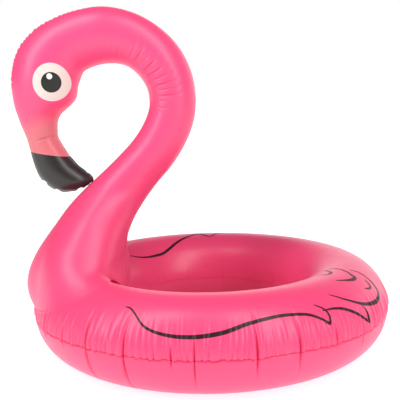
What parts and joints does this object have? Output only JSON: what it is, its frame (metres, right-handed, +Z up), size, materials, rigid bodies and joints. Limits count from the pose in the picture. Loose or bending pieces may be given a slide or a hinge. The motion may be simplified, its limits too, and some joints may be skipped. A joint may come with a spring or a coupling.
{
  "type": "inflatable flamingo swim ring",
  "caption": "Blown-up swim ring with a curved bird's neck, head and beak at its front, printed eyes and feather lines, and push-in air valves.",
  "frame": {"origin": "centre of the swim hole, on the floor that the ring rests on", "axes": "-X is the bird's front, where the head looks; +Z is up; the neck's seam lies in the plane Y = 0"},
  "size_m": [1.0471, 1.011, 0.9587],
  "materials": {
    "ring_film": "satin hot pink film",
    "neck_film": "satin hot pink film",
    "beak_film": "satin black film",
    "eye_white": "printed warm white",
    "eye_black": "printed black",
    "eye_glint": "printed white",
    "feather_ink": "printed dark maroon",
    "valve_pvc": "soft translucent pink PVC",
    "valve_flap": "thin soft PVC"
  },
  "bodies": {
    "float": {"ring_lower_sheet": "ring_film", "ring_upper_sheet": "ring_film", "neck_foot_weld": "neck_film", "neck_left_panel": "neck_film", "neck_right_panel": "neck_film", "beak_left_panel": "beak_film", "beak_right_panel": "beak_film", "eye_white_left": "eye_white", "eye_pupil_left": "eye_black", "eye_glint_left": "eye_glint", "eye_white_right": "eye_white", "eye_pupil_right": "eye_black", "eye_glint_right": "eye_glint", "wing_print_left": "feather_ink", "wing_print_right": "feather_ink", "ring_valve_flange": "valve_pvc", "neck_valve_flange": "valve_pvc"},
    "ring_valve_stem": {"ring_valve_stem": "valve_pvc"},
    "ring_valve_cap": {"ring_valve_cap": "valve_pvc"},
    "ring_valve_flap": {"ring_valve_flap": "valve_flap"},
    "neck_valve_stem": {"neck_valve_stem": "valve_pvc"},
    "neck_valve_cap": {"neck_valve_cap": "valve_pvc"},
    "neck_valve_flap": {"neck_valve_flap": "valve_flap"}
  },
  "joints": [
    {"name": "ring_valve_pull_out", "type": "slide", "parent": "float", "child": "ring_valve_stem", "axis": [0, 0.6691, 0.7431], "range_m": [0, 0.012]},
    {"name": "ring_valve_cap_open", "type": "hinge", "parent": "ring_valve_stem", "child": "ring_valve_cap", "pos_m": [0, 0.45215, 0.22065], "axis": [1, 0, 0], "range_deg": [0, 150]},
    {"name": "ring_valve_flap_open", "type": "hinge", "parent": "ring_valve_stem", "child": "ring_valve_flap", "pos_m": [0, 0.44465, 0.20231], "axis": [-1, 0, 0], "range_deg": [0, 60], "stiffness_Nm_per_rad": 0.0001},
    {"name": "neck_valve_pull_out", "type": "slide", "parent": "float", "child": "neck_valve_stem", "axis": [0, 1, 0], "range_m": [0, 0.012]},
    {"name": "neck_valve_cap_open", "type": "hinge", "parent": "neck_valve_stem", "child": "neck_valve_cap", "pos_m": [-0.1885, 0.0661, 0.52973], "axis": [0, 0, 1], "range_deg": [0, 150]},
    {"name": "neck_valve_flap_open", "type": "hinge", "parent": "neck_valve_stem", "child": "neck_valve_flap", "pos_m": [-0.1818, 0.04745, 0.52973], "axis": [0, 0, -1], "range_deg": [0, 60], "stiffness_Nm_per_rad": 0.0001}
  ]
}
